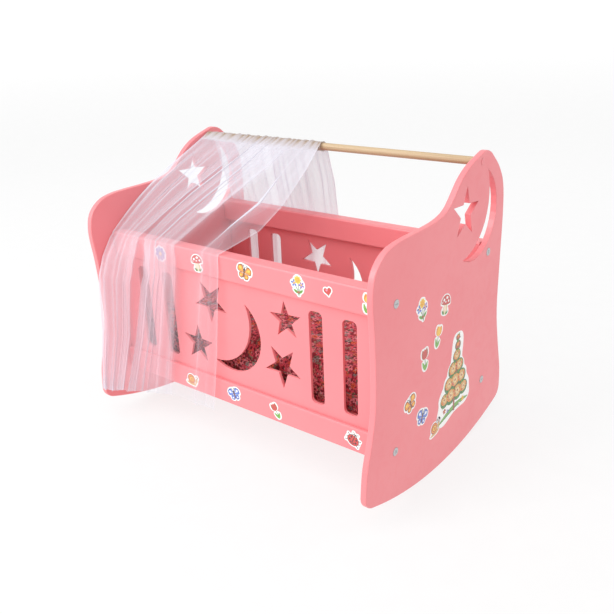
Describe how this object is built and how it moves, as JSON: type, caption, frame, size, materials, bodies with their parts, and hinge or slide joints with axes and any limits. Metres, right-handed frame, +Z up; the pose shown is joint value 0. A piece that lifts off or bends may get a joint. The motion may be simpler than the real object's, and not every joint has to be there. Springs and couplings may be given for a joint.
{
  "type": "doll cradle",
  "caption": "Rocking doll cradle in painted board with star and moon cut-outs, a flowered mattress, and a tulle canopy gathered on a round rod.",
  "frame": {"origin": "on the ground under the middle of the whole cradle's box", "axes": "+X from the head end, which carries the canopy, to the foot end; +Y to the back, where the rod is; +Z up"},
  "size_m": [0.4688, 0.342, 0.3875],
  "materials": {
    "painted_board": "satin pink paint",
    "beech": "bare turned wood",
    "screw_steel": "bright zinc",
    "flowered_cotton": "woven cotton with a small flower print",
    "tulle": "sheer white net"
  },
  "bodies": {
    "cradle": {"head_end_panel": "painted_board", "foot_end_panel": "painted_board", "front_bottom_rail": "painted_board", "front_top_rail": "painted_board", "back_bottom_rail": "painted_board", "back_top_rail": "painted_board", "front_board": "painted_board", "back_board": "painted_board", "floor_board": "painted_board", "canopy_rod": "beech", "head_front_bottom_screw": "screw_steel", "head_front_top_screw": "screw_steel", "head_back_bottom_screw": "screw_steel", "head_back_top_screw": "screw_steel", "foot_front_bottom_screw": "screw_steel", "foot_front_top_screw": "screw_steel", "foot_back_bottom_screw": "screw_steel", "foot_back_top_screw": "screw_steel", "head_rod_screw": "screw_steel", "foot_rod_screw": "screw_steel"},
    "mattress": {"mattress": "flowered_cotton"},
    "canopy": {"canopy_casing": "tulle", "canopy_front_drop": "tulle", "canopy_back_drop": "tulle"}
  },
  "joints": [
    {"name": "mattress_lift", "type": "slide", "parent": "cradle", "child": "mattress", "axis": [0, 0, 1], "range_m": [0, 0.12]},
    {"name": "canopy_slide", "type": "slide", "parent": "cradle", "child": "canopy", "axis": [1, 0, 0], "range_m": [0, 0.21]}
  ]
}
